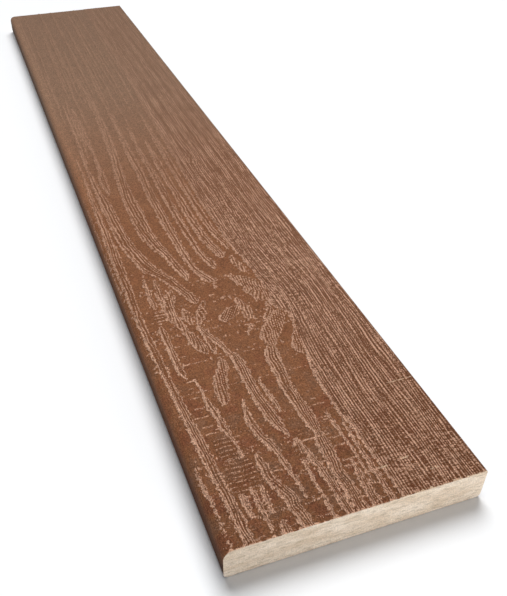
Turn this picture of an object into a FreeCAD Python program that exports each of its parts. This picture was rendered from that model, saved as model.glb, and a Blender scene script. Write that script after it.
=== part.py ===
import math
import os

import FreeCAD
import Part

# A composite fence board: one straight length of solid section, lying on its back.
# Frame: X along the board, Y across it, Z up. The origin is the middle of the back face.
# The face is up. Its left edge, at -Y, is the bold rounded one, and its right edge is
# only eased. The right long edge leans in towards the back. Both ends are plain square
# saw cuts, with no rounding of their own.

# Driving dimensions, in millimetres
board_length = 900.0
board_width = 150.0
board_thickness = 20.0
left_face_radius = 6.0
right_face_radius = 1.0
left_back_radius = 2.5
right_back_radius = 2.5
right_edge_lean = 1.6  # how far that edge comes in over the full thickness

quarter_turn = math.pi / 2


def at(y, z):
    """A point of the section, on the plane of the cut at the -X end."""
    return FreeCAD.Vector(-board_length / 2, y, z)


def round_corner(centre_y, centre_z, radius, start, end):
    """One rounded corner, as its first point, its last point and the arc between them.

    The angles run anticlockwise from +Y, and so does the whole outline.
    """
    points = [
        at(centre_y + radius * math.cos(angle), centre_z + radius * math.sin(angle))
        for angle in (start, (start + end) / 2, end)
    ]
    return points[0], points[-1], Part.Arc(*points).toShape()


def straight(start, end):
    return Part.LineSegment(start, end).toShape()


def board_section():
    """The closed outline of the section: four flats joined by four arcs."""
    left = -board_width / 2
    right = board_width / 2
    lean = math.atan2(right_edge_lean, board_thickness)

    # the leaning flat touches both right-hand corners, so it sets where the lower one goes
    face_right_y = right - right_face_radius
    drop = board_thickness - right_face_radius - right_back_radius
    back_right_y = (
        face_right_y
        - drop * math.tan(lean)
        - (right_back_radius - right_face_radius) / math.cos(lean)
    )

    face_right = round_corner(
        face_right_y, board_thickness - right_face_radius, right_face_radius,
        -lean, quarter_turn,
    )
    face_left = round_corner(
        left + left_face_radius, board_thickness - left_face_radius, left_face_radius,
        quarter_turn, 2 * quarter_turn,
    )
    back_left = round_corner(
        left + left_back_radius, left_back_radius, left_back_radius,
        2 * quarter_turn, 3 * quarter_turn,
    )
    back_right = round_corner(
        back_right_y, right_back_radius, right_back_radius,
        3 * quarter_turn, 4 * quarter_turn - lean,
    )

    edges = []
    corners = [face_right, face_left, back_left, back_right]
    for corner, following in zip(corners, corners[1:] + corners[:1]):
        edges.append(corner[2])
        edges.append(straight(corner[1], following[0]))
    return Part.Face(Part.Wire(edges))


def fence_board():
    """The section drawn out along the board, from one saw cut to the other."""
    return board_section().extrude(FreeCAD.Vector(board_length, 0, 0))


os.makedirs("parts", exist_ok=True)
board = fence_board()
board.exportStep("parts/fence_board.step")
print(f"fence_board: {board.Volume / 1e6:.4f} litres, valid {board.isValid()}")
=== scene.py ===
import math
import random

import bmesh
import bpy
import numpy as np
from mathutils import Matrix, Vector, noise


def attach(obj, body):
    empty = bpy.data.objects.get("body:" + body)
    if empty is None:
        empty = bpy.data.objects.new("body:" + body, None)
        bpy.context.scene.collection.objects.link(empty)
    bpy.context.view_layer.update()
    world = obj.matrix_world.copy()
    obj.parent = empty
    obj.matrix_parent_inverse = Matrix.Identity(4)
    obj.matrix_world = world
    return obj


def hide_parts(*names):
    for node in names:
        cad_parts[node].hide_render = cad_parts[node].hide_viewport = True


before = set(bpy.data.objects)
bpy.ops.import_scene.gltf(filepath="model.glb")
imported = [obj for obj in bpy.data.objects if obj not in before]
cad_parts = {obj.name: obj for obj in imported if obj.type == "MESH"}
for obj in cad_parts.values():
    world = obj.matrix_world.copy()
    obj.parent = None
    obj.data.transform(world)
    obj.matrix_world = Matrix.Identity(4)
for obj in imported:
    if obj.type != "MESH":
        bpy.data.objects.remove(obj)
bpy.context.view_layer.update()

# A composite fence board lying face up: brown embossed skin, cream sawn ends.
# Lengths in the board and figure dictionaries are millimetres. "along" is counted from the
# near sawn end and "across" from the bold rounded edge, so marks can be laid out like a drawing.

random.seed(12)
mm = 0.001
flush = 1e-5  # metres: how near two places count as level


# The blank

board = {
    "length": 900.0,
    "width": 150.0,
    "thickness": 20.0,
    "boldRadius": 6.0,          # face edge at across = 0
    "easedRadius": 1.0,         # face edge at across = width
    "backRadius": 2.5,
    "lean": 1.6,                # how far the edge at across = width comes in, face to back
    "boldSteps": 9,
    "easedSteps": 3,
    "backSteps": 3,
    "faceCells": 290,
    "sideCells": 3,
    "backCells": 4,
    "shortestFlat": 4.0,        # anything shorter is one step of a rounded corner
    # how far apart the rows of the mesh are, down the board
    "rows": [(0, 1.0), (90, 1.0), (125, 1.7), (240, 1.8), (330, 2.7), (450, 5.6), (620, 9), (900, 10)],
}

# the same in metres, for the mesh
halfLength = board["length"] * mm / 2
halfWidth = board["width"] * mm / 2
top = board["thickness"] * mm


def readOff(stations, places):
    # the value at one place, or at many, from a list of (place, value)
    marks, values = zip(*stations)
    return np.interp(places, marks, values)


def rowPlaces():
    # closer rows where the figure is busy, wider ones down the straight far half
    places = [0.0]
    while places[-1] < board["length"]:
        places.append(places[-1] + float(readOff(board["rows"], places[-1])))
    stretch = board["length"] / places[-1]
    return [p * stretch for p in places]


def isCrosswise(edge):
    return abs(edge.verts[0].co.x - edge.verts[1].co.x) < flush


def cutAcross(bm, cells, picks):
    # more cells between the lengthwise edges of one side
    edges = [e for e in bm.edges if isCrosswise(e) and e.calc_length() > board["shortestFlat"] * mm
             and picks(e.verts[0].co, e.verts[1].co)]
    bmesh.ops.subdivide_edges(bm, edges=edges, cuts=cells - 1)


def drawSection(bm):
    # the section, stood up on the near saw cut, with one edge leaning in towards the back
    lean = math.atan2(board["lean"], board["thickness"])
    right = math.radians(90)
    faceCorner = halfWidth + board["easedRadius"] * mm * (1 / math.cos(lean) - 1 + math.tan(lean))
    backCorner = faceCorner - board["lean"] * mm
    bmesh.ops.create_grid(bm, x_segments=1, y_segments=1, size=0.5)
    bmesh.ops.scale(bm, vec=(top, halfWidth * 2, 1), verts=bm.verts)
    bmesh.ops.rotate(bm, cent=(0, 0, 0), matrix=Matrix.Rotation(right, 3, "Y"), verts=bm.verts)
    bmesh.ops.translate(bm, vec=(halfLength, 0, top / 2), verts=bm.verts)
    for vert in bm.verts:
        if vert.co.y > 0:
            vert.co.y = faceCorner if vert.co.z > top / 2 else backCorner

    # each corner: where it is, its radius, how far the outline turns there, and its steps
    corners = [
        (-halfWidth, top, board["boldRadius"], right, board["boldSteps"]),
        (faceCorner, top, board["easedRadius"], right + lean, board["easedSteps"]),
        (-halfWidth, 0, board["backRadius"], right, board["backSteps"]),
        (backCorner, 0, board["backRadius"], right - lean, board["backSteps"]),
    ]
    for y, z, radius, turn, steps in corners:
        corner = min(bm.verts, key=lambda v: abs(v.co.y - y) + abs(v.co.z - z))
        reach = radius * math.tan(turn / 2) * mm
        bmesh.ops.bevel(bm, geom=[corner], offset=reach, offset_type="OFFSET", segments=steps,
                        profile=0.5, affect="VERTICES", material=-1)
    bmesh.ops.delete(bm, geom=list(bm.faces), context="FACES_ONLY")


def buildBlank():
    bm = bmesh.new()
    drawSection(bm)

    # drawn out to the far cut, a row at a time
    ring = list(bm.edges)
    places = rowPlaces()
    for place in places[1:]:
        grown = bmesh.ops.extrude_edge_only(bm, edges=ring)["geom"]
        for part in grown:
            if isinstance(part, bmesh.types.BMVert):
                part.co.x = halfLength - place * mm
        ring = [p for p in grown if isinstance(p, bmesh.types.BMEdge) and isCrosswise(p)]

    # cut fine across the face, and less so on the other sides
    cutAcross(bm, board["faceCells"], lambda a, b: min(a.z, b.z) > top - flush)
    cutAcross(bm, board["backCells"], lambda a, b: max(a.z, b.z) < flush)
    cutAcross(bm, board["sideCells"], lambda a, b: abs(a.z - b.z) > board["shortestFlat"] * mm)

    # the two saw cuts close it
    rim = [e for e in bm.edges if e.is_boundary]
    for side in (-1, 1):
        bmesh.ops.contextual_create(bm, geom=[e for e in rim if e.verts[0].co.x * side > 0])
    bmesh.ops.recalc_face_normals(bm, faces=bm.faces)
    for face in bm.faces:
        isEnd = abs(face.normal.x) > 0.9
        isBack = face.calc_center_median().z < board["backRadius"] * mm
        face.smooth = not isEnd
        face.material_index = 2 if isEnd else int(isBack)  # skin, back, core
    for edge in rim:
        edge.smooth = False
    print("blank: rows", len(places), "faces", len(bm.faces))
    return bm


# The figure pressed into the face

# what a point of the face can lie in, each with its own sort of line
plainBand, combBand, straightBand, closeGrain, hollowBand = range(5)

# Each band is (along, low side, high side) stations, tapering to a point where the two meet.
# Inside a band the skin stands proud in fine ragged lines; between bands it is smooth.
figureBands = {
    "edgePair": [
        (-2, 11.2, 17.5), (20, 10.2, 16.8), (40, 9.6, 15.7), (50, 8.3, 15.3), (70, 7.3, 14.2),
        (90, 6.8, 12.7), (110, 6.0, 11.6), (130, 5.2, 10.4), (150, 3.8, 9.9), (180, 3.0, 8.6),
        (210, 2.6, 8.8), (240, 2.6, 9.7), (280, 2.8, 10.6), (330, 4, 9.4), (400, 6.8, 9.2), (450, 8, 8.6),
    ],
    "edgeFray": [
        (222, 0.2, 0.6), (232, -0.5, 1.3), (250, -0.7, 1.5), (300, -0.8, 1.4), (345, -0.6, 1.2),
        (385, 0.2, 0.7),
    ],
    "edgeStreak": [
        (0, 4.4, 5.0), (12, 3.7, 4.9), (22, 4.0, 5.4), (36, 2.8, 5.0), (42, 2.0, 4.6), (57, 2.2, 3.8),
    ],
    "nearLow": [(4, 27.6, 28.6), (12, 25.9, 28.6), (22, 25.2, 28.8), (34, 25.6, 28)],
    "nearPatch": [(15, 19.6, 22.4), (25, 18.6, 22.6), (35, 18.6, 22)],
    "nearCrumb": [(-2, 31, 36.6), (4, 31, 37), (8, 33, 35.4)],
    "nearCrumb2": [(15, 30.6, 32.6), (24, 29.8, 33.8), (34, 31, 33)],
    "combUpper": [(31, 18.4, 25), (36, 17.2, 25.4), (52, 17, 26), (53.5, 19, 24)],
    "combLower": [(33, 27.4, 33), (38, 26.4, 34), (52, 26.2, 34), (54, 29, 33)],
    "combFar": [(55.5, 19.5, 28.5), (62, 17.6, 28), (71, 17.4, 29), (72, 20, 26)],
    "combMid": [(42.6, 58.4, 63.4), (52, 58, 63.4)],
    "rib": [
        (46, 28.6, 29.6), (57, 28.4, 30.4), (66, 28.6, 30.4), (72, 26.9, 30), (80, 24.2, 29.9),
        (86, 25, 28.9), (92, 23.8, 28.8), (98, 22, 27.8), (104, 23.4, 26), (112, 23.2, 24.8),
        (124, 22.6, 24.2),
    ],
    "shoulder": [
        (-2, 42, 50), (8, 41.5, 48.5), (13, 39.8, 47.5), (20, 40, 47.6), (25, 38, 46.2), (30, 37, 43.4),
        (36, 35.2, 41.4), (44, 35, 41), (50, 35, 39.8), (55, 36.6, 38.2),
    ],
    "arch": [
        (17, 51, 52), (26, 50.4, 52.8), (35, 49, 52), (44, 47.5, 51.7), (50, 47.2, 51.2), (56, 45.2, 50.8),
        (62, 43.4, 48.8), (68, 41.5, 46.8), (75, 40.3, 45.8), (82, 40.3, 45.4), (88, 41.8, 45.6),
        (98, 44.6, 45.6),
    ],
    "leaf": [
        (96, 33.2, 34.6), (100, 31, 38), (106, 30.6, 39.6), (112, 31.4, 41), (118, 33.2, 42.4),
        (122, 34.5, 44.4), (127, 38.6, 46.4), (132, 40.6, 47.4), (136, 42.8, 46), (138, 44.4, 45),
    ],
    "floater": [
        (126, 18.6, 19.2), (131, 15.2, 20), (140, 15, 19.8), (150, 14.8, 19.6), (160, 14.8, 19.6),
        (170, 14.4, 19.8), (178, 14.6, 19.6), (181, 17, 18),
    ],
    "spine": [
        (60, 59.4, 60.4), (66, 56, 60.3), (72, 53.2, 60.2), (78, 51.4, 60), (84, 51.2, 59), (92, 50.5, 58),
        (105, 50.2, 57.2), (118, 50.3, 57.8), (128, 50, 58), (136, 50.6, 57), (140, 49.2, 53.5),
        (148, 47.3, 51.5), (154, 44.8, 50), (160, 42.5, 47.2), (166, 40, 45), (171, 39.2, 43.5),
        (177, 41.4, 42.8),
    ],
    "spineShadow": [(80, 61.6, 63), (88, 60.2, 63.8), (98, 59.4, 62.2), (112, 59.4, 60.8)],
    "nearRidge": [
        (-2, 59, 62), (12, 59.2, 61.2), (26, 58.8, 60.8), (42, 58.8, 61.6), (46, 58.2, 64),
        (52, 58.4, 64.2), (58, 60.6, 62),
    ],
    "nearRidge2": [
        (-2, 66.3, 71), (12, 65.5, 70.5), (24, 64.8, 69.8), (34, 64, 69.2), (44, 62.8, 66.8),
        (56, 62.8, 64.4),
    ],
    "nearComb": [
        (-2, 72.2, 79), (14, 71.4, 79.2), (30, 70.6, 77.6), (42, 71, 79.6), (52, 71.2, 79.6), (58, 74, 78),
    ],
    "river": [
        (55, 74.6, 77.6), (64, 71.8, 79.3), (72, 70.8, 79.7), (85, 70.2, 78.6), (100, 69.5, 77.6),
        (115, 70.4, 79.2), (124, 70.6, 80.1), (130, 70.8, 81.1), (136, 74, 82), (139, 76, 81),
    ],
    "riverHead": [
        (136, 76, 81), (139, 75.8, 82.8), (141, 76.7, 84.6), (144, 75.4, 87.2), (147.5, 75.2, 89.8),
        (151, 75.6, 92.2), (154, 77.6, 94.2), (158.5, 80.6, 96.4), (163, 85.6, 99), (167, 89.8, 101.6),
        (171, 93.5, 104),
    ],
    "lensRows": [(-2, 81, 87.6), (12, 81.2, 87), (22, 82, 86.6), (33, 84, 85.4)],
    "lensLine": [
        (14, 88.6, 90), (25, 87.8, 89.4), (40, 88, 89.4), (50, 87.2, 89.2), (60, 86.3, 88.9),
        (66, 86, 88.2), (73, 87, 87.8),
    ],
    "lensLow": [(-2, 90.6, 95), (14, 91.5, 95.4), (30, 91.2, 94.6), (60, 91.8, 93.4)],
    "bridge": [
        (144, 38, 39.6), (147, 33.8, 40), (151, 31.4, 40), (158, 30, 39), (164, 30, 36.6),
        (170, 28.8, 33.4), (178, 27, 32.6), (184, 24.6, 32.2), (190, 23, 31.4), (200, 22.4, 32),
        (208, 24.4, 34.6), (214, 30.6, 35.6), (219, 33.6, 35.2),
    ],
    "bridgeFoot": [(142, 42, 43.6), (148, 40.8, 46), (156, 40.4, 45.4), (168, 40, 42)],
    "bridgeKnee": [(176, 37, 38), (180, 33.6, 39.6), (188, 33, 40), (195, 36.4, 38)],
    "bridgeTop": [
        (199, 17.6, 19.6), (204, 17, 21.6), (212, 16.6, 20.8), (222, 17, 21), (232, 17.8, 20.6),
        (243, 19.8, 20.8),
    ],
    "combBridge": [(183.5, 17, 21), (188, 15.6, 22), (193, 15.4, 22.4), (197, 16, 22)],
    "bridgeMid": [(205, 22.6, 25), (210, 22.6, 28.8), (222, 23.2, 29), (235, 26, 28.2)],
    "heel": [
        (175, 43, 44.4), (179, 41, 47.4), (184, 41.6, 50.2), (190, 45, 50.8), (196, 49, 53.6),
        (199, 51.4, 52.6),
    ],
    "knotEye": [
        (171.6, 57.6, 60), (174, 56, 66), (177, 56, 71.6), (181, 59.4, 73), (184, 63, 73.4),
        (186, 68, 72.4),
    ],
    "knotSmile": [
        (169, 74, 80), (172, 72.2, 80.2), (178, 72.8, 80.6), (184, 73.4, 80), (189, 72.6, 78.6),
        (193, 71.6, 76.6), (194.5, 72, 74),
    ],
    "knotChip": [(157, 69.4, 72), (160, 71.2, 76), (163.6, 74, 77)],
    "knotChip2": [(153, 68.2, 69.6), (156, 68.2, 70.4), (158, 69.4, 70.2)],
    "knotHook": [(165, 84, 88), (168, 84.6, 91), (172, 88, 95), (176, 90.6, 94.4), (183, 92, 93.4)],
    "tongue": [
        (123.5, 95, 98), (125.5, 92.4, 98), (129, 91.2, 98.6), (132.6, 90.6, 99.6), (137, 92.6, 101),
        (143, 95.6, 103), (150, 99.2, 105), (160, 101, 107), (167, 102.6, 107),
    ],
    "firstArch": [
        (197, 45.4, 47), (199, 44, 50), (205, 41.5, 49.8), (212, 39.5, 47.5), (220, 36.6, 44.2),
        (230, 32.6, 41.2), (238, 28.4, 37.6), (246, 21, 34), (254, 19.8, 31), (264, 17.6, 28.8),
        (274, 15.6, 26.4), (284, 14, 24.4), (296, 12.4, 22.8), (320, 12, 21.4), (350, 11.4, 21.2),
        (380, 11.6, 17.2), (420, 12, 15.6), (470, 14, 17.4), (540, 15, 18.6), (580, 16.4, 17.2),
    ],
    "secondArch": [
        (226, 48.4, 49.6), (232, 46.4, 52.6), (238, 44.8, 52), (246, 42.5, 50.5), (256, 41.4, 48.2),
        (266, 39, 46.4), (272, 35.8, 45.6), (280, 33.8, 44), (290, 31.4, 42.8), (300, 30.2, 42),
        (312, 30, 41.8), (332, 30, 42.8), (352, 30.6, 42), (372, 31.4, 41.2), (392, 33.6, 42.6),
        (412, 35, 43.6), (432, 36.4, 45.2), (460, 38.6, 47), (500, 41, 49.4), (560, 42.4, 49),
        (640, 44.6, 46),
    ],
    "archMate": [
        (368, 22.4, 23.4), (384, 19, 25.6), (400, 19, 26.4), (416, 21.6, 26.6), (450, 24.4, 26.4),
        (480, 20.4, 27.4), (520, 21.4, 28), (560, 23.4, 26),
    ],
    "thirdChip": [(208.5, 64, 65.2), (212, 64.6, 66.6), (217, 63.6, 66.8)],
    "thirdArch": [
        (219, 62.4, 70), (222, 60.4, 69.4), (226, 59, 66), (230, 57.6, 63.6), (238, 55.6, 60.8),
        (246, 54.4, 60), (256, 53.6, 59.4), (270, 52.6, 59.2), (290, 51.8, 59.3), (320, 51.4, 59.2),
        (350, 51.4, 59), (390, 52.4, 59.8), (430, 52.6, 60.4), (470, 54, 60), (530, 56, 60.4),
        (580, 58, 59),
    ],
    "fourthArch": [
        (233, 72, 73), (237, 69.8, 74.6), (242, 68, 75), (250, 66.5, 72), (260, 65.2, 70.2),
        (275, 64.3, 69.8), (290, 63.7, 69.6), (320, 63.4, 69.9), (350, 63, 69.8), (390, 64, 70.2),
        (440, 64, 68.6), (500, 66, 69),
    ],
    "fifthArch": [
        (246, 80, 83), (250, 78.6, 86.2), (258, 77.2, 84.4), (268, 74.4, 82.2), (280, 73.3, 80.7),
        (300, 72.9, 80.2), (330, 72.4, 80.2), (370, 73.4, 79), (410, 73, 79.4), (460, 75, 78),
    ],
    "sixthArch": [
        (255, 89.4, 91.6), (262, 87.4, 94), (270, 85.6, 93), (280, 84.2, 90.6), (300, 83.1, 89.6),
        (330, 82.9, 89), (370, 82.8, 88.8), (420, 83, 90), (470, 84, 89.4), (530, 86, 88),
    ],
    "fanTop": [
        (197, 95, 99), (200, 88.5, 100), (204, 84.4, 99.5), (207, 82, 97.5), (210, 80.9, 95.4),
        (215, 79.2, 92), (220, 77.8, 84.5), (223, 76.8, 78.4),
    ],
    "fanLow": [
        (185.5, 90, 98), (188, 87.8, 99), (192, 85.4, 100), (196, 84.2, 100), (200, 83, 88),
        (203, 81.6, 84),
    ],
    "fanRight": [
        (222.5, 90, 93), (226, 88.4, 93.8), (231, 87.4, 93), (237, 86.4, 91.6), (243, 85.8, 90),
        (246, 86, 88.6),
    ],
}

# Short nicks that cross the grain: (along, low side, high side)
figureNicks = [
    (77.3, 15.8, 22), (83, 15.8, 22), (91.2, 13.3, 21.7), (98.6, 15.8, 21.2), (108, 15.8, 21.7),
    (112.6, 17.5, 25.5), (116.6, 17, 20.5), (122.6, 18, 25), (57, 30.5, 34), (66.5, 28.5, 32),
    (70.5, 30.5, 33.8), (28, 20, 25), (24.5, 23, 29), (20.6, 25, 33), (16.4, 26, 31), (2.5, 17, 24),
    (138.4, 20, 31), (146.4, 20, 26), (166.5, 19.5, 23), (116, 44, 49), (54.5, 60, 76), (60, 56, 62),
    (29.2, 80, 88), (33.8, 80, 88), (45, 80, 87), (51.2, 79, 87.5), (65.2, 82.5, 86), (68, 82.5, 86.5),
    (78.8, 82, 89.5), (83.6, 83, 86), (91, 83.5, 85.5), (215, 54, 57), (203.6, 58, 63.5),
    (201, 57.9, 61.2), (199.3, 64.4, 75.5), (216.2, 64, 68), (211, 64.8, 66.6), (219.6, 57.2, 59.6),
    (186, 16, 21), (193, 18, 30), (39.5, 42, 47), (80.6, 132, 149), (22, 88, 101), (30, 79, 86),
    (24, 110, 115), (12, 122, 127), (170, 100, 108), (182, 92, 106), (196, 98, 108),
]

figure = {
    "landDepth": 0.34,          # how far the smooth ground sits below the lines
    "lineDepth": 0.13,
    "nickDepth": 0.18,
    "nickHalf": 0.50,           # half the width of a nick, and how much that varies
    "nickSpread": 0.12,
    "chipReach": 0.5,           # how far in the chips of the saw reach, and how ragged they are
    "chipRagged": 2.4,
    "ragged": 0.8,              # how far the teeth of a band wander
    "outside": -8.0,            # what counts as far from every band, and as off the face
    "offFace": -7.0,
    "shiftAlong": 37.0,         # from band to band, so that no two have the same run of grain
    "shiftAcross": 23.0,
    # what varies slowly over the lines: its scale along them, its scale across them and its seed
    "clouds": {
        "wander": (0.018, 0.12, 4.0), "wobble": (0.14, 0.2, 61.0), "strength": (0.03, 0.45, 9.0),
        "drift": (0.02, 0.07, 17.0), "broken": (0.04, 0.28, 31.0), "strips": (0.011, 0.36, 57.0),
        "sway": (0.006, 0.06, 71.0), "fading": (0.01, 0.09, 73.0), "patches": (0.03, 0.16, 21.0),
    },
    # from line to line, in the bands down the board and in the close grain
    "bandPitch": [(0, 1.34), (60, 1.45), (130, 1.75), (220, 2.05), (400, 2.6), (900, 4.0)],
    "closePitch": 1.8,
    "combPitch": 3.2,           # strokes across the grain near the saw cut
    # in these the lines keep to the run of the board
    "straight": ("fanTop", "fanLow", "fanRight", "heel", "knotSmile", "knotChip", "bridgeKnee",
                 "bridgeMid", "bridge", "bridgeTop", "tongue", "leaf", "thirdChip", "riverHead"),
    # and these are little more than their two outlines
    "hollow": ("edgePair", "firstArch", "floater", "knotEye", "knotHook", "bridgeFoot"),
    # the close lines gather in pairs, and the pairs in wide loose strips
    "pairPitch": 2.9,
    "pairShare": [
        (0, 0.08), (45, 0.11), (70, 0.24), (110, 0.22), (160, 0.20), (290, 0.17), (370, 0.11),
        (460, 0.06), (900, 0.02),
    ],
    "stripPitch": 9.1,
    "stripPlace": 104.0,        # where one of the dark lines between them runs
    "stripShare": [
        (0, 0.08), (100, 0.15), (160, 0.28), (300, 0.30), (370, 0.46), (460, 0.46), (540, 0.6),
        (660, 0.62), (900, 0.4),
    ],
    "evenRun": (330, 400),      # the strips turn straight and even between these
    # how far across the close straight grain begins
    "denseEdge": [
        (0, 98.5), (28, 97), (40, 96), (60, 94.8), (66, 93.2), (95, 93), (110, 93.8), (118, 95.6),
        (124, 96.6), (136, 98.4), (151, 99.6), (160, 101.4), (166.5, 102.6), (170, 100), (174, 96.4),
        (180, 94), (186, 95.6), (193, 96.8), (203, 97.6), (214, 97.1), (225, 96.5), (239, 95.4),
        (250, 93.6), (262, 92.2), (330, 91), (420, 92.5), (520, 93), (640, 97), (900, 99),
    ],
    # loose lines down the far half: how many, how near the long edges, from one to the next,
    # where each starts, how long and how wide it is, and how far it drifts
    "farLines": 34,
    "farEdge": 4.0,
    "farGap": (2.6, 6.4),
    "farStart": (430, 640),
    "farLength": (110, 420),
    "farWidth": (1.6, 3.6),
    "farDrift": (0.8, 3.2),
    # how strongly crumbs break up the lines, in the bands and in the close grain
    "crumbGain": [
        (0, 1.6), (40, 1.5), (110, 1.3), (200, 1.6), (270, 1.4), (340, 0.8), (430, 0.4), (900, 0.3),
    ],
    "closeCrumbs": [
        (0, 0.5), (40, 0.6), (110, 1.2), (160, 1.8), (220, 2.1), (290, 1.7), (370, 1.0), (460, 0.5),
        (900, 0.2),
    ],
    # the close grain loses contrast down the board
    "calm": [
        (0, 0.04), (110, 0.08), (140, 0.17), (190, 0.16), (230, 0.20), (350, 0.22), (400, 0.18),
        (500, 0.22), (900, 0.2),
    ],
    # how much of the pale rubbed tone is left down the board
    "wear": [
        (0, 0.98), (50, 1.1), (240, 1.14), (330, 0.88), (450, 0.62), (600, 0.36), (750, 0.28), (900, 0.24),
    ],
    # the ground is painted a little darker towards the near saw cut as shade, and lightest well down the
    # board as painted sheen
    "tone": [
        (0, 0.77), (30, 0.83), (60, 0.90), (100, 0.97), (160, 1.02), (300, 1.04), (390, 1.06),
        (440, 1.10), (600, 1.11), (700, 1.08), (860, 1.02), (900, 1.0),
    ],
    # and round the bold edge, from face to side, near the saw cut and far from it: a painted highlight on
    # the rounding and painted shade down the side
    "turn": [(-12, 1.0), (-6, 1.0), (-3, 1.05), (0, 1.14), (3, 1.28), (6, 1.0), (10, 0.62), (17, 0.48)],
    "paintedEdgeFar": [(-12, 1.0), (-6, 1.15), (-3, 1.3), (0, 1.38), (3, 1.28), (6, 0.95), (10, 0.66), (17, 0.5)],
    "frayRun": (200, 240),      # the grain starts to fray over the bold edge between these
}


def smoothRun(stations, along):
    # the two sides of a band at every row, eased so that the corners of the run don't show
    places, lows, highs = zip(*stations)
    spread = np.linspace(-2.4, 2.4, 7)
    weights = np.exp(-(spread / 1.8) ** 2)
    low = sum(w * np.interp(along + d, places, lows) for d, w in zip(spread, weights))
    high = sum(w * np.interp(along + d, places, highs) for d, w in zip(spread, weights))
    return low / weights.sum(), high / weights.sum()


def farBands():
    # long loose lines down the far half, laid at random but always the same
    bands = {}
    across = figure["farEdge"]
    for i in range(figure["farLines"]):
        across += random.uniform(*figure["farGap"])
        if across > board["width"] - figure["farEdge"]:
            across = figure["farEdge"] + random.uniform(0, 3)
        start = random.uniform(*figure["farStart"])
        end = start + random.uniform(*figure["farLength"])
        wide = random.uniform(*figure["farWidth"])
        drift = random.uniform(*figure["farDrift"])
        run = []
        for k in range(7):
            t = k / 6
            middle = across + drift * t + random.uniform(-0.5, 0.5)
            half = wide / 2 * min(1, 4 * t * (1 - t) + 0.1)
            run.append((start + (end - start) * t, middle - half, middle + half))
        bands["far%02d" % i] = run
    return bands


def bandKind(name):
    if name.startswith("comb"):
        return combBand
    if name in figure["straight"]:
        return straightBand
    return hollowBand if name in figure["hollow"] else plainBand


def layOver(laid, reach, **own):
    # a band takes the points that are deeper inside it than in any band before it
    deeper = reach > laid["inside"]
    for name, value in {"inside": reach, **own}.items():
        laid[name] = np.where(deeper, value, laid[name])


def layFigure(along, across):
    # for every point: how far inside a band it is, its run along and across the grain,
    # where its lines are counted from, whether it is on the low side, and the kind of band
    laid = {
        "inside": np.full(along.shape, figure["outside"]),
        "runAlong": along,
        "runAcross": across,
        "centred": across,
        "lowSide": np.ones(along.shape),
        "kind": np.zeros(along.shape),
    }
    allBands = {**figureBands, **farBands()}
    for order, (name, stations) in enumerate(allBands.items(), 1):
        low, high = smoothRun(stations, along)
        middle = (low + high) / 2
        reach = np.minimum(across - low, high - across)
        beyond = np.maximum(stations[0][0] - along, along - stations[-1][0])
        reach = np.where(beyond > 0, -beyond, reach)
        kind = bandKind(name)
        centred = across if kind == straightBand else across - middle + (order % 5) * 0.3
        layOver(laid, reach, runAlong=along + order * figure["shiftAlong"],
                runAcross=across - middle + order * figure["shiftAcross"], centred=centred,
                lowSide=np.clip(0.5 + middle - across, 0, 1), kind=kind)
    # the close straight grain down the other side of the board is one wide band of its own,
    # and dips as it goes round the knots
    dense = across - readOff(figure["denseEdge"], along)
    dip = 9.0 * np.exp(-((along - 182) / 42) ** 2) * np.exp(-np.maximum(across - 95, 0) / 26)
    layOver(laid, dense, runAlong=along, runAcross=across - dip, centred=across - dip,
            lowSide=1, kind=closeGrain)
    return laid


def layNicks(along, across):
    # the saw leaves a ragged line of chips along the near cut
    best = figure["chipReach"] - along + cloud(across, along, 0.35, 0.1, 41.0) * figure["chipRagged"]
    for order, (place, low, high) in enumerate(figureNicks):
        middle = (low + high) / 2
        lean = 0.04 * math.sin(order * 1.7) * (across - middle)
        sway = 0.22 * np.sin(across * 1.1 + order * 2.3)
        half = figure["nickHalf"] + figure["nickSpread"] * math.sin(order * 2.9)
        reach = np.minimum(half - abs(along - place - lean - sway), (high - low) / 2 - abs(across - middle))
        best = np.maximum(best, reach)
    return best


def ease(values, low, high):
    t = np.clip((values - low) / (high - low), 0, 1)
    return t * t * (3 - 2 * t)


def cloud(first, second, firstScale, secondScale, seed):
    spots = zip(first * firstScale, second * secondScale)
    return np.array([noise.noise(Vector((a, b, seed))) for a, b in spots])


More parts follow.
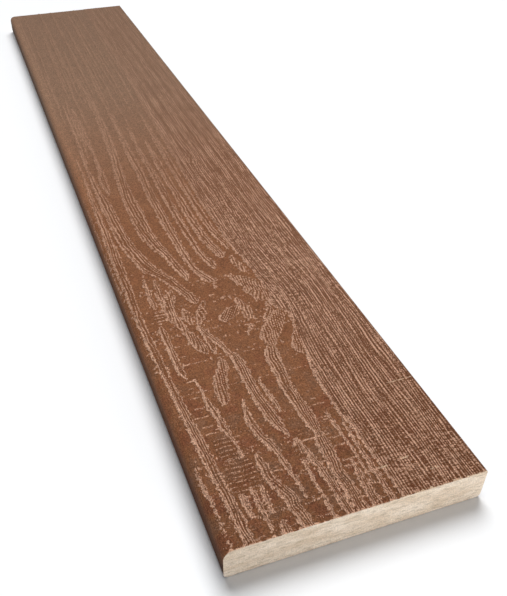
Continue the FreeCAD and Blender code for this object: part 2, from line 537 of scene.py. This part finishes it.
def layLines(along, laid):
    # parallel lines along the grain, counted in whole lines so mesh and finish agree,
    # and how strongly each stretch of them stands out
    runAlong = laid["runAlong"]
    runAcross = laid["runAcross"]
    haze = {name: cloud(runAlong, runAcross, *scales) for name, scales in figure["clouds"].items()}
    close = laid["kind"] == closeGrain
    pitch = np.where(close, figure["closePitch"], readOff(figure["bandPitch"], along))
    wander = haze["wander"] * 2.0
    wobble = haze["wobble"] * np.where(close, 0.2 + 0.6 * ease(along, 60, 160), 0.9)
    count = (laid["centred"] + wander + wobble) / pitch
    # strokes across the grain
    count = np.where(laid["kind"] == combBand, along / figure["combPitch"] + wander * 0.2, count)

    pairs = np.sin((runAcross + haze["drift"] * 2.6) * 2 * np.pi / figure["pairPitch"])
    broken = np.clip(0.7 + haze["broken"] * 1.9, 0, 1.3)
    # past the figure the strips run straight and even, with a finer one half-way between
    even = ease(along, *figure["evenRun"])
    strips = haze["strips"] * 0.6 * (1 - 0.45 * even)
    sway = haze["sway"] * (8 - 6.5 * even)
    turns = (runAcross + sway - figure["stripPlace"]) * 2 * np.pi / figure["stripPitch"]
    strips = strips - (0.22 + 0.22 * even) * (0.6 + haze["fading"]) * np.cos(turns)
    pairs = pairs * (1 - even) - 1.6 * even * np.cos(turns * 2)
    lift = haze["strength"] * (0.24 + 0.12 * ease(along, 40, 120))
    lift = lift + close * pairs * broken * readOff(figure["pairShare"], along)
    lift = lift + close * strips * readOff(figure["stripShare"], along)

    # strips where the lines crumble into short crossed flecks
    closeShare = 0.4 + 0.6 * ease(along, 30, 110) - 0.7 * ease(along, 170, 300)
    crumble = ease(haze["patches"] * 2.2, -0.3, 0.8) * np.where(close, closeShare, 0.35)
    crumble = np.where(laid["kind"] == straightBand, 0.5, crumble)
    return count, lift, crumble


def markSkin(along, across, drop, laid, nicks, count, lift, crumble):
    # what the finish reads of the figure at every vertex
    kind = laid["kind"]
    close = kind == closeGrain
    easedHalf = across > board["width"] / 2

    # no figure down the sides
    frayed = ease(along, *figure["frayRun"])
    wall = np.where(easedHalf, ease(drop, 0.4, 1.0), ease(drop, 1.8 + 1.4 * frayed, 5 + frayed))
    # the face is most cross-hatched next to the near saw cut
    crossing = 0.36 + (1 - ease(along, 15, 90)) * (0.26 + 0.12 * ease(across, 55, 100))
    crossing = crossing * ease(across, 0.5, 4) * (1 - wall)
    # painted highlight and shade on the ground round the bold edge, and painted shade over the other,
    # lightly rounded edge
    nearPaintedEdge = readOff(figure["turn"], drop - across)
    farPaintedEdge = readOff(figure["paintedEdgeFar"], drop - across)
    # painted highlight on the bold rounding, painted shade on the side below it
    shade = nearPaintedEdge + (farPaintedEdge - nearPaintedEdge) * ease(along, 220, 420)
    # painted shade over the lightly rounded edge at across = width
    eased = 1 - 0.42 * np.maximum(ease(across, 148.3, 149.8), easedHalf * ease(drop, 0.3, 1.1))
    outlined = 1 - (kind == combBand) - 0.3 * (kind == straightBand)
    outlined = outlined * (1 - 0.35 * ease(along, 110, 260)) * (1 - 0.28 * ease(along, 300, 400))
    crumbGain = np.where(close, readOff(figure["closeCrumbs"], along), readOff(figure["crumbGain"], along))
    bandWave = 0.80 + 0.12 * ease(along, 60, 140) - 0.15 * ease(along, 260, 460)
    # combs and hollow bands show fewer lines, and so do the plain ones down the board
    sparse = ((kind == combBand) - 0.2 * (kind == straightBand)
              + 0.8 * (kind == hollowBand) * ease(along, 80, 130) * ease(along, 310, 250)
              + 0.6 * (kind == plainBand) * ease(along, 260, 420))
    return {
        "bandReach": np.minimum(laid["inside"], 20) * (1 - wall) + figure["offFace"] * wall,
        "nickReach": np.minimum(nicks, 1) * (1 - wall) + figure["offFace"] * wall,
        "lineCount": count,
        "lineLift": lift,
        "runAlong": laid["runAlong"],
        "runAcross": laid["runAcross"],
        "lowSide": laid["lowSide"],
        "closeGrain": close,
        "crossGrain": crossing,
        "outlined": outlined,
        "sparse": sparse,
        "toothed": np.where(close, 0.15, 0.15 + 0.4 * ease(along, 90, 140)),
        "coarse": ease(along, 50, 250) * np.where(close, 0.8, 1),
        "sharp": 1 - 0.74 * ease(along, 260, 500),
        "calm": readOff(figure["calm"], along) * close,
        "crumbShare": crumble * 1.4 + crumbGain,
        "waveShare": (0.56 - 0.32 * crumble) * np.where(close, 0.56, bandWave),
        # rubbed tone left down the board, times the painted shade over the lightly rounded edge
        "rubWearAndEdgeShade": readOff(figure["wear"], along) * eased,
        # painted light: shade near the saw cut, sheen down the board, highlight and shade round both edges
        "paintedLightOnGround": readOff(figure["tone"], along) * shade * eased,
        "nearCut": 1 - 0.75 * ease(along, 60, 190),
    }


def pressFigure(bm):
    verts = list(bm.verts)
    spots = np.array([v.co for v in verts]) / mm
    along = board["length"] / 2 - spots[:, 0]
    across = spots[:, 1] + board["width"] / 2
    drop = board["thickness"] - spots[:, 2]
    laid = layFigure(along, across)
    kind = laid["kind"]
    teeth = cloud(along, across, 0.45, 0.5, 3.0) * figure["ragged"] * (2 + (kind == straightBand))
    laid["inside"] = laid["inside"] + teeth
    nicks = layNicks(along, across)
    count, lift, crumble = layLines(along, laid)

    # the mesh takes every second line, the finish takes them all
    lines = np.clip(0.5 + 0.5 * np.sin(count * np.where(kind == combBand, 2, 1) * np.pi) + lift, 0, 1)
    raised = ease(laid["inside"], -0.25, 0.55)
    nicked = ease(nicks, -0.3, 0.4) * (1 - raised)
    depth = (figure["landDepth"] * (1 - raised) + figure["lineDepth"] * (1 - lines) * raised
             - figure["nickDepth"] * nicked)
    # the ground comes back up to size over the rounded edges
    shoulder = ease(across, 0.4, 6) * ease(board["width"] - across, 0.2, 2.2)
    onFace = drop < board["boldRadius"] + 0.01
    depth = np.clip(depth, 0, 1) * shoulder * onFace
    bm.normal_update()
    normals = [v.normal.copy() for v in verts]
    for vert, normal, sunk in zip(verts, normals, depth):
        if sunk > 0:
            outward = Vector((0, normal.y, normal.z)).normalized()
            vert.co -= outward * float(sunk) * mm
    print("figure: bands", len(figureBands), "nicks", len(figureNicks), "deepest", round(depth.max(), 3))
    return markSkin(along, across, drop, laid, nicks, count, lift, crumble)


def addObject(name, data):
    made = bpy.data.objects.new(name, data)
    bpy.context.scene.collection.objects.link(made)
    return made


def meshObject(name, bm):
    mesh = bpy.data.meshes.new(name)
    bm.to_mesh(mesh)
    bm.free()
    return addObject(name, mesh)


def makeBoard():
    bm = buildBlank()
    marks = pressFigure(bm)
    piece = meshObject("grainedBoard", bm)
    for name, values in marks.items():
        attribute = piece.data.attributes.new(name, "FLOAT", "POINT")
        attribute.data.foreach_set("value", np.asarray(values, dtype=np.float32))
    return piece


# Finishes

skin = {
    "ground": (0.184, 0.0725, 0.0305),
    "groundWarm": (0.211, 0.086, 0.0375),
    "groundRed": (0.178, 0.060, 0.0275),
    "groundGrey": (0.180, 0.084, 0.045),
    # painted sheen colour for the far ground
    "groundFarSheen": (0.186, 0.113, 0.072),
    "groove": (0.092, 0.029, 0.0100),
    "rubbed": (0.575, 0.343, 0.232),
    "scuff": (0.52, 0.40, 0.27),
    "groundRough": 0.80,
    "lineRough": 0.85,
    "speckSize": 1250,
    "edgeWander": 3.6,          # how far crumbs push the edge of a band
    # how much hairs, cross marks and teeth break up the lines
    "hairGain": 1.2,
    "crossGain": 2.2,
    "toothGain": 0.42,
    "nickShow": 0.82,           # how pale the nicks are, and how sandy in the close grain
    "scuffShow": 0.55,
    "relief": 0.8,
    "reliefDepth": 0.00022,     # metres
}

back = {
    "brown": (0.17, 0.070, 0.034),
    "rough": 0.6,
    "speckSize": 1300,
    "relief": 0.5,
    "reliefDepth": 0.00012,
}

core = {
    "cream": (0.70, 0.56, 0.42),
    "pale": (0.82, 0.70, 0.57),
    "shade": (0.44, 0.34, 0.24),
    "rough": 0.8,
    "speckSize": 1100,
    "fleckShow": 0.50,
    # painted shade: from the bold edge to just past the middle the sawn end gets a little lighter
    "boldPaintedShade": 0.82,
    "middlePaintedLight": 1.03,
    "relief": 0.6,
    "reliefDepth": 0.0002,
}


def addNode(tree, kind, place, values=None, **settings):
    # each input named in values is set, or linked to the output given for it
    node = tree.nodes.new(kind)
    node.location = (place[0] * 190, place[1] * -190)
    for name, value in settings.items():
        setattr(node, name, value)
    for name, value in (values or {}).items():
        if isinstance(value, bpy.types.NodeSocket):
            tree.links.new(value, node.inputs[name])
        else:
            node.inputs[name].default_value = value
    return node


def maths(tree, operation, place, *values):
    return addNode(tree, "ShaderNodeMath", place, dict(enumerate(values)), operation=operation).outputs[0]


def between(tree, place, share, first, second):
    # the first where the share is 0, the second where it is 1
    gap = maths(tree, "SUBTRACT", (place[0] - 1, place[1]), second, first)
    return maths(tree, "MULTIPLY_ADD", place, gap, share, first)


def aboutZero(tree, place, value, gain):
    # a cloud varies about a half, and this makes it vary about nothing
    return maths(tree, "MULTIPLY_ADD", place, value, gain, -gain / 2)


def remap(tree, place, value, low, high, toLow=0.0, toHigh=1.0, shape="SMOOTHSTEP"):
    values = {"Value": value, "From Min": low, "From Max": high, "To Min": toLow, "To Max": toHigh}
    return addNode(tree, "ShaderNodeMapRange", place, values, interpolation_type=shape).outputs["Result"]


def blendColours(tree, place, amount, first, second):
    # a Mix node's colours are its inputs 6 and 7 and its output 2
    first, second = ((*c, 1) if isinstance(c, tuple) else c for c in (first, second))
    values = {"Factor": amount, 6: first, 7: second}
    return addNode(tree, "ShaderNodeMix", place, values, data_type="RGBA").outputs[2]


def dimColour(tree, place, colour, amount):
    values = {0: colour, "Scale": amount}
    return addNode(tree, "ShaderNodeVectorMath", place, values, operation="SCALE").outputs[0]


def grains(tree, place, scales, detail, seed):
    # cloud fixed to the board, with its own scale along, across and up
    x, y = place
    spot = addNode(tree, "ShaderNodeTexCoord", place).outputs["Object"]
    values = {"Vector": spot, "Scale": scales, "Location": (seed, seed * 2, seed * 3)}
    spot = addNode(tree, "ShaderNodeMapping", (x + 1, y), values).outputs["Vector"]
    values = {"Vector": spot, "Scale": 1.0, "Detail": detail, "Roughness": 0.55}
    return addNode(tree, "ShaderNodeTexNoise", (x + 2, y), values).outputs["Fac"]


def splitPlace(tree):
    # the place on the board as X, Y and Z
    spot = addNode(tree, "ShaderNodeTexCoord", (0, 0)).outputs["Object"]
    return addNode(tree, "ShaderNodeSeparateXYZ", (1, 0), {0: spot}).outputs


def newGroup(name, inputs, outputs):
    # a group of nodes with number sockets: the group, its way in and its way out
    tree = bpy.data.node_groups.new(name, "ShaderNodeTree")
    for socket in inputs:
        tree.interface.new_socket(socket, in_out="INPUT", socket_type="NodeSocketFloat")
    for socket in outputs:
        tree.interface.new_socket(socket, in_out="OUTPUT", socket_type="NodeSocketFloat")
    entry = addNode(tree, "NodeGroupInput", (0, 0))
    leave = addNode(tree, "NodeGroupOutput", (5, 0))
    return tree, entry.outputs, leave.inputs


def speckGroup():
    # fine even speckle of the size asked for, with broader patches of tone and hue
    clouds = {"Speck": (None, 3.0, 0.7), "Patch": (60.0, 3.0, 0.6), "Hue": (90.0, 1.5, 0.5)}
    tree, entry, leave = newGroup("moulded speck", ["Size"], clouds)
    spot = addNode(tree, "ShaderNodeTexCoord", (0, 1)).outputs["Object"]
    for row, (name, (scale, detail, rough)) in enumerate(clouds.items()):
        values = {"Vector": spot, "Scale": scale or entry["Size"], "Detail": detail, "Roughness": rough}
        node = addNode(tree, "ShaderNodeTexNoise", (2, row * 2), values)
        tree.links.new(node.outputs["Fac"], leave[name])
    return tree


def streakGroup():
    # cloud stretched along the grain
    tree, entry, leave = newGroup(
        "long streaks", ["Along", "Across", "Along Scale", "Across Scale", "Detail", "Seed"], ["Streak"])
    x = maths(tree, "MULTIPLY", (2, 0), entry["Along"], entry["Along Scale"])
    y = maths(tree, "MULTIPLY", (2, 1), entry["Across"], entry["Across Scale"])
    spot = addNode(tree, "ShaderNodeCombineXYZ", (3, 0), {"X": x, "Y": y, "Z": entry["Seed"]}).outputs[0]
    values = {"Vector": spot, "Scale": 1.0, "Detail": entry["Detail"], "Roughness": 0.55}
    node = addNode(tree, "ShaderNodeTexNoise", (4, 0), values)
    tree.links.new(node.outputs["Fac"], leave["Streak"])
    return tree


def useGroup(tree, group, place, values):
    return addNode(tree, "ShaderNodeGroup", place, values, node_tree=group).outputs


def streaks(tree, shared, place, along, across, alongScale, acrossScale, detail, seed):
    values = {"Along": along, "Across": across, "Along Scale": alongScale,
              "Across Scale": acrossScale, "Detail": detail, "Seed": seed}
    return useGroup(tree, shared["streak"], place, values)["Streak"]


def newFinish(name, rough):
    material = bpy.data.materials.new(name)
    material.use_nodes = True
    tree = material.node_tree
    shader = tree.nodes["Principled BSDF"]
    shader.location = (5000, 0)
    tree.nodes["Material Output"].location = (5300, 0)
    shader.inputs["Roughness"].default_value = rough
    shader.inputs["Specular IOR Level"].default_value = 0.10
    return material, tree, shader


def linkFinish(tree, shader, colour, height, finish):
    # the colour, and relief too fine for the mesh
    tree.links.new(colour, shader.inputs["Base Color"])
    values = {"Strength": finish["relief"], "Distance": finish["reliefDepth"], "Height": height}
    bump = addNode(tree, "ShaderNodeBump", (25, 4), values)
    tree.links.new(bump.outputs["Normal"], shader.inputs["Normal"])


def bandEdge(tree, runs, crumbs):
    # ragged edge of a band, and the paler rubbed rim just inside it, widened on the low side as a painted
    # highlight
    wander = aboutZero(tree, (7, 0), crumbs, skin["edgeWander"])
    edge = maths(tree, "ADD", (8, 0), runs["bandReach"], wander)
    edge = maths(tree, "MULTIPLY", (9, 0), edge, runs["sharp"])
    mask = remap(tree, (10, 0), edge, -0.1, 0.3)
    # the rim sits deeper in and wider on the low side of a band: a painted highlight
    rimPlace = maths(tree, "MULTIPLY_ADD", (9, 1), runs["lowSide"], 0.50, 0.35)
    rimGap = maths(tree, "ABSOLUTE", (11, 1), maths(tree, "SUBTRACT", (10, 1), edge, rimPlace))
    rimWidthWithHighlight = maths(tree, "MULTIPLY_ADD", (11, 2), runs["lowSide"], 0.6, 0.5)
    rimShare = maths(tree, "DIVIDE", (12, 1), rimGap, rimWidthWithHighlight)
    rimShare = remap(tree, (13, 1), rimShare, 0.5, 1.1, 1.0, 0.0)
    rimFleck = remap(tree, (13, 0), crumbs, 0.36, 0.56, 0.15, 1.1)
    rim = maths(tree, "MULTIPLY", (14, 1), rimShare, rimFleck)
    return mask, maths(tree, "MULTIPLY", (15, 1), rim, runs["outlined"])


def bandLines(tree, runs, crumbs, hairs, crossCloud):
    # lines broken up by fine hairs, crumbs and the marks that cross them
    wave = maths(tree, "SINE", (8, 4), maths(tree, "MULTIPLY", (7, 4), runs["lineCount"], 2 * math.pi))
    base = maths(tree, "MULTIPLY_ADD", (7, 5), runs["closeGrain"], 0.08, 0.28)
    base = maths(tree, "ADD", (8, 5), runs["lineLift"], base)
    base = maths(tree, "MULTIPLY_ADD", (9, 5), runs["sparse"], -0.22, base)
    steady = maths(tree, "MULTIPLY_ADD", (10, 4), wave, runs["waveShare"], base)
    crumbed = maths(tree, "SUBTRACT", (7, 6), crumbs, 0.5)
    crumbed = maths(tree, "MULTIPLY", (8, 6), crumbed, runs["crumbShare"])
    haired = aboutZero(tree, (8, 7), hairs, skin["hairGain"])
    broken = maths(tree, "ADD", (9, 6), crumbed, haired)
    crossed = aboutZero(tree, (7, 8), crossCloud, skin["crossGain"])
    crossed = maths(tree, "MULTIPLY", (8, 8), crossed, runs["crossGrain"])
    # fine slanting teeth, most of them round the knots
    slant = maths(tree, "MULTIPLY_ADD", (7, 9), runs["runAcross"], 0.7, runs["runAlong"])
    bend = maths(tree, "MULTIPLY", (7, 10), hairs, 8.0)
    teeth = maths(tree, "SINE", (9, 9), maths(tree, "MULTIPLY_ADD", (8, 9), slant, 3.4, bend))
    teeth = maths(tree, "MULTIPLY", (10, 9), teeth, runs["toothed"])
    teeth = maths(tree, "MULTIPLY", (11, 9), teeth, skin["toothGain"])
    crossed = maths(tree, "ADD", (12, 8), crossed, teeth)
    blended = maths(tree, "ADD", (14, 6), steady, maths(tree, "ADD", (13, 7), broken, crossed))
    # the close grain is softer than the lines in the bands
    crisp = remap(tree, (15, 6), blended, 0.26, 0.76, 0.0, 0.84)
    mellow = remap(tree, (15, 7), blended, 0.20, 0.92)
    line = between(tree, (17, 6), runs["closeGrain"], crisp, mellow)
    return between(tree, (19, 6), runs["calm"], line, 0.42)


def skinGround(tree, runs, grit):
    # brown, mottled redder and greyer near the saw cut, greyed far from it by painted sheen, and dimmed and
    # lifted by painted light and shade
    patch = remap(tree, (7, 12), grit["Patch"], 0.35, 0.65)
    ground = blendColours(tree, (8, 12), patch, skin["ground"], skin["groundWarm"])
    mottles = ((0.50, 0.66, 0.75, skin["groundRed"]), (0.47, 0.34, 0.7, skin["groundGrey"]))
    for step, (low, high, most, colour) in enumerate(mottles):
        share = remap(tree, (7, 13 + step), grit["Hue"], low, high, 0.0, most)
        share = maths(tree, "MULTIPLY", (8, 13 + step), share, runs["nearCut"])
        ground = blendColours(tree, (9 + step, 12), share, ground, colour)
    # painted sheen: the ground greys far down the board
    paintedSheen = remap(tree, (10, 13), runs["rubWearAndEdgeShade"], 0.3, 1.0, 0.8, 0.0)
    ground = blendColours(tree, (11, 12), paintedSheen, ground, skin["groundFarSheen"])
    # painted light and shade on the ground
    return dimColour(tree, (12, 12), ground, runs["paintedLightOnGround"])


def makeSkin(shared):
    material, tree, shader = newFinish("brown embossed skin", skin["groundRough"])
    names = ("bandReach", "nickReach", "lineCount", "lineLift", "runAlong", "runAcross", "lowSide",
             "closeGrain", "crossGrain", "outlined", "sparse", "toothed", "coarse", "sharp", "calm",
             "crumbShare", "waveShare", "rubWearAndEdgeShade", "paintedLightOnGround", "nearCut")
    runs = {}
    for row, name in enumerate(names):
        runs[name] = addNode(tree, "ShaderNodeAttribute", (0, row), attribute_name=name).outputs["Fac"]
    close = runs["closeGrain"]
    grit = useGroup(tree, shared["speck"], (6, 12), {"Size": skin["speckSize"]})

    # crumbs and hairs get coarser down the board
    grain = (runs["runAlong"], runs["runAcross"])
    fineCrumbs = grains(tree, (2, 0), (750, 1400, 1400), 2.0, 1.0)
    bigCrumbs = grains(tree, (2, 1), (480, 580, 580), 2.0, 22.0)
    crumbs = between(tree, (6, 1), runs["coarse"], fineCrumbs, bigCrumbs)
    fineHairs = streaks(tree, shared, (4, 3), *grain, 0.08, 1.8, 2.0, 8.0)
    bigHairs = streaks(tree, shared, (4, 5), *grain, 0.07, 0.60, 2.0, 25.0)
    hairs = between(tree, (6, 3), runs["coarse"], fineHairs, bigHairs)
    crossCloud = grains(tree, (2, 8), (1000, 280, 280), 2.0, 11.0)
    flecks = grains(tree, (2, 10), (1700, 2600, 2600), 3.0, 14.0)
    mask, rim = bandEdge(tree, runs, crumbs)
    line = bandLines(tree, runs, crumbs, hairs, crossCloud)
    proud = maths(tree, "MULTIPLY", (21, 3), mask, maths(tree, "MAXIMUM", (20, 3), line, rim))

    # nicks across the grain
    nickEdge = maths(tree, "MULTIPLY_ADD", (7, 3), crumbs, 1.5, -0.70)
    nickEdge = maths(tree, "ADD", (8, 3), runs["nickReach"], nickEdge)
    nickMask = remap(tree, (9, 3), nickEdge, -0.2, 0.4)
    nicks = maths(tree, "MULTIPLY", (10, 3), nickMask, skin["nickShow"])
    tan = maths(tree, "MAXIMUM", (22, 3), proud, nicks)
    # loose flecks on the smooth ground, most of them near the saw cut
    loose = remap(tree, (7, 11), crossCloud, 0.56, 0.70)
    loose = maths(tree, "MULTIPLY", (9, 11), loose, remap(tree, (8, 11), crumbs, 0.46, 0.60))
    nearCross = maths(tree, "MULTIPLY", (9, 10), runs["crossGrain"], runs["nearCut"])
    loose = maths(tree, "MULTIPLY", (10, 10), loose, nearCross)
    tan = maths(tree, "MAXIMUM", (23, 3), tan, loose)

    # the ground shows between the lines, deeper brown inside a band
    ground = skinGround(tree, runs, grit)
    hollow = maths(tree, "MULTIPLY", (21, 6), mask, maths(tree, "SUBTRACT", (20, 7), 1.0, line))
    darker = maths(tree, "MULTIPLY_ADD", (20, 8), close, 0.45, 0.25)
    hollow = maths(tree, "MULTIPLY", (22, 6), hollow, darker)
    hollow = maths(tree, "MULTIPLY", (23, 6), hollow, runs["rubWearAndEdgeShade"])
    colour = blendColours(tree, (24, 6), hollow, ground, skin["groove"])
    # rubbed pale on the lines, and sandy on the nicks of the close grain
    fleckShare = remap(tree, (6, 10), flecks, 0.34, 0.66, 0.47, 1.20)
    rubShare = maths(tree, "MULTIPLY", (22, 8), tan, fleckShare)
    rubShare = maths(tree, "MULTIPLY", (23, 8), rubShare, runs["rubWearAndEdgeShade"])
    colour = blendColours(tree, (24, 8), rubShare, colour, skin["rubbed"])
    scuff = maths(tree, "MULTIPLY", (22, 9), nickMask, close)
    scuff = maths(tree, "MULTIPLY", (23, 9), scuff, skin["scuffShow"])
    colour = blendColours(tree, (24, 9), scuff, colour, skin["scuff"])
    sand = remap(tree, (23, 11), grit["Speck"], 0.38, 0.62, 0.64, 1.46)
    colour = dimColour(tree, (25, 9), colour, sand)
    roughness = remap(tree, (25, 2), mask, 0.0, 1.0, skin["groundRough"], skin["lineRough"])
    tree.links.new(roughness, shader.inputs["Roughness"])
    height = maths(tree, "ADD", (24, 4), tan, maths(tree, "MULTIPLY", (23, 4), sand, 0.5))
    linkFinish(tree, shader, colour, height, skin)
    return material


def makeBack(shared):
    # plain moulded back, brushed along its length
    material, tree, shader = newFinish("brown plain back", back["rough"])
    spot = splitPlace(tree)
    grit = useGroup(tree, shared["speck"], (2, 3), {"Size": back["speckSize"]})
    brushed = streaks(tree, shared, (2, 0), spot["X"], spot["Y"], 14.0, 620.0, 3.0, 2.0)
    tone = remap(tree, (3, 0), brushed, 0.3, 0.7, 0.82, 1.16)
    patch = remap(tree, (3, 3), grit["Patch"], 0.3, 0.7)
    ground = blendColours(tree, (4, 2), patch, back["brown"], skin["ground"])
    colour = dimColour(tree, (5, 0), ground, tone)
    height = maths(tree, "ADD", (5, 4), tone, grit["Speck"])
    linkFinish(tree, shader, colour, height, back)
    return material


def makeCore(shared):
    # cream filled core, as the saw leaves it
    material, tree, shader = newFinish("cream sawn core", core["rough"])
    spot = splitPlace(tree)
    grit = useGroup(tree, shared["speck"], (2, 5), {"Size": core["speckSize"]})
    fibres = streaks(tree, shared, (2, 0), spot["Y"], spot["Z"], 190.0, 800.0, 3.0, 5.0)
    layers = streaks(tree, shared, (2, 2), spot["Y"], spot["Z"], 50.0, 190.0, 3.0, 7.0)
    fleck = remap(tree, (3, 0), fibres, 0.50, 0.64)
    layer = remap(tree, (3, 2), layers, 0.35, 0.65)
    base = blendColours(tree, (4, 2), layer, core["cream"], core["pale"])
    fleckShare = maths(tree, "MULTIPLY", (4, 0), fleck, core["fleckShow"])
    colour = blendColours(tree, (5, 1), fleckShare, base, core["shade"])
    sand = remap(tree, (3, 5), grit["Speck"], 0.34, 0.66, 0.86, 1.14)
    # painted shade: the sawn end darker towards the bold edge
    paintedEndShade = remap(tree, (3, 7), spot["Y"], -0.075, 0.02, core["boldPaintedShade"], core["middlePaintedLight"], "LINEAR")
    colour = dimColour(tree, (6, 1), colour, maths(tree, "MULTIPLY", (4, 6), sand, paintedEndShade))
    height = maths(tree, "ADD", (4, 4), fleck, sand)
    linkFinish(tree, shader, colour, height, core)
    return material


# Floor, lamps and camera

studio = {
    "floorTone": (0.916, 0.92, 0.926),
    "floorHalf": 6.0,           # metres, like the rest of this one
    "floorGap": 0.0002,         # from the board's back down to the floor
    "liftTone": (0.98, 0.985, 1.0),
    "floorLift": 0.02,
    "skyTone": (0.93, 0.975, 1.03),
    "skyStrength": 0.22,
    # lamps: where each one shines from, its strength and how soft it is in degrees
    "keyFrom": (-0.62, 0.24, 0.88),
    "keyStrength": 3.35,
    "keySoft": 40.0,
    "fillFrom": (0.94, 0.22, 0.05),
    "fillStrength": 1.95,
    "fillSoft": 15.0,
}

view = {
    "place": (0.67268, -0.14215, 0.34485),
    "forward": (-0.75401, 0.28024, -0.59408),
    "up": (-0.55742, 0.20548, 0.8044),
    "lens": 47.52,
    "sensor": 36.0,
}


def makeFloor():
    bm = bmesh.new()
    bmesh.ops.create_grid(bm, x_segments=4, y_segments=4, size=studio["floorHalf"])
    bmesh.ops.translate(bm, vec=(0, 0, -studio["floorGap"]), verts=bm.verts)
    floor = meshObject("floor", bm)
    material = bpy.data.materials.new("pale floor")
    material.use_nodes = True
    tree = material.node_tree
    shader = tree.nodes["Principled BSDF"]
    shader.inputs["Base Color"].default_value = (*studio["floorTone"], 1)
    shader.inputs["Roughness"].default_value = 0.9
    shader.inputs["Specular IOR Level"].default_value = 0.0
    # the camera sees the floor a little lifted, so it reads as white paper
    path = addNode(tree, "ShaderNodeLightPath", (-3, 2))
    seen = maths(tree, "MAXIMUM", (-2, 2), path.outputs["Is Camera Ray"], path.outputs["Is Glossy Ray"])
    shader.inputs["Emission Color"].default_value = (*studio["liftTone"], 1)
    lift = maths(tree, "MULTIPLY", (-1, 2), seen, studio["floorLift"])
    tree.links.new(lift, shader.inputs["Emission Strength"])
    floor.data.materials.append(material)


def addLamp(name, shinesFrom, strength, soft):
    lamp = bpy.data.lights.new(name, "SUN")
    lamp.energy = strength
    lamp.angle = math.radians(soft)
    holder = addObject(name, lamp)
    holder.location = Vector(shinesFrom) * 2
    holder.rotation_euler = (-Vector(shinesFrom)).to_track_quat("-Z", "Y").to_euler()


def makeSky():
    world = bpy.data.worlds.new("studio")
    bpy.context.scene.world = world
    world.use_nodes = True
    tree = world.node_tree
    tree.nodes.clear()
    soft = addNode(tree, "ShaderNodeBackground", (0, 0),
                   {"Color": (*studio["skyTone"], 1), "Strength": studio["skyStrength"]})
    white = addNode(tree, "ShaderNodeBackground", (0, 1), {"Color": (1, 1, 1, 1), "Strength": 1.0})
    path = addNode(tree, "ShaderNodeLightPath", (-1, -1))
    values = {0: path.outputs["Is Camera Ray"], 1: soft.outputs[0], 2: white.outputs[0]}
    mix = addNode(tree, "ShaderNodeMixShader", (1, 0), values)
    addNode(tree, "ShaderNodeOutputWorld", (2, 0), {"Surface": mix.outputs[0]})


def makeCamera():
    lens = bpy.data.cameras.new("photo view")
    lens.sensor_fit = "VERTICAL"
    lens.sensor_height = view["sensor"]
    lens.sensor_width = view["sensor"]
    lens.lens = view["lens"]
    lens.clip_start = 0.01
    lens.clip_end = 50
    camera = addObject("photo view", lens)
    forward = Vector(view["forward"]).normalized()
    right = forward.cross(Vector(view["up"])).normalized()
    up = right.cross(forward)
    turn = Matrix((right, up, -forward)).transposed().to_4x4()
    camera.matrix_world = Matrix.Translation(view["place"]) @ turn
    bpy.context.scene.camera = camera


makeCamera()
makeFloor()
makeSky()
addLamp("key lamp", studio["keyFrom"], studio["keyStrength"], studio["keySoft"])
addLamp("fill lamp", studio["fillFrom"], studio["fillStrength"], studio["fillSoft"])
bpy.context.scene.view_settings.view_transform = "Standard"
print("studio: floor, sky, lamps and camera set")

grainedBoard = makeBoard()
shared = {"speck": speckGroup(), "streak": streakGroup()}
for finish in (makeSkin(shared), makeBack(shared), makeCore(shared)):
    grainedBoard.data.materials.append(finish)
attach(grainedBoard, "root")
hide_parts("fence_board")
print("board: dressed,", len(grainedBoard.data.polygons), "faces")
